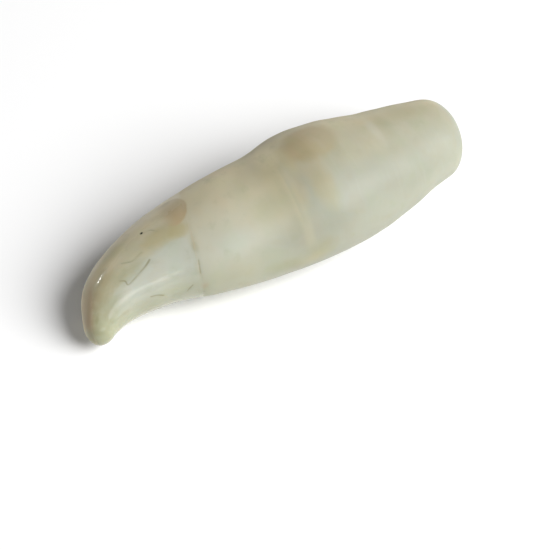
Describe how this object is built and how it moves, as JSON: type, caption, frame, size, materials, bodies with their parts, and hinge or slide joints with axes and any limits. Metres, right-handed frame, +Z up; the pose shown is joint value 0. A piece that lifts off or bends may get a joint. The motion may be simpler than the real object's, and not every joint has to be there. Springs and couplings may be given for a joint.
{
  "type": "whale tooth",
  "caption": "Curved, pointed whale tooth with a smooth hooked crown and a long swelling root that is rounded shut, lying on its side.",
  "frame": {"origin": "middle of the tooth's box, on the surface that it lies on", "axes": "+X runs from the tip to the root, the tip hooks towards -Y, and +Z is up"},
  "size_m": [0.1262, 0.0408, 0.0335],
  "materials": {
    "ivory": "waxy polish, cream with a tan side"
  },
  "bodies": {
    "root": {"tooth": "ivory"}
  },
  "joints": []
}
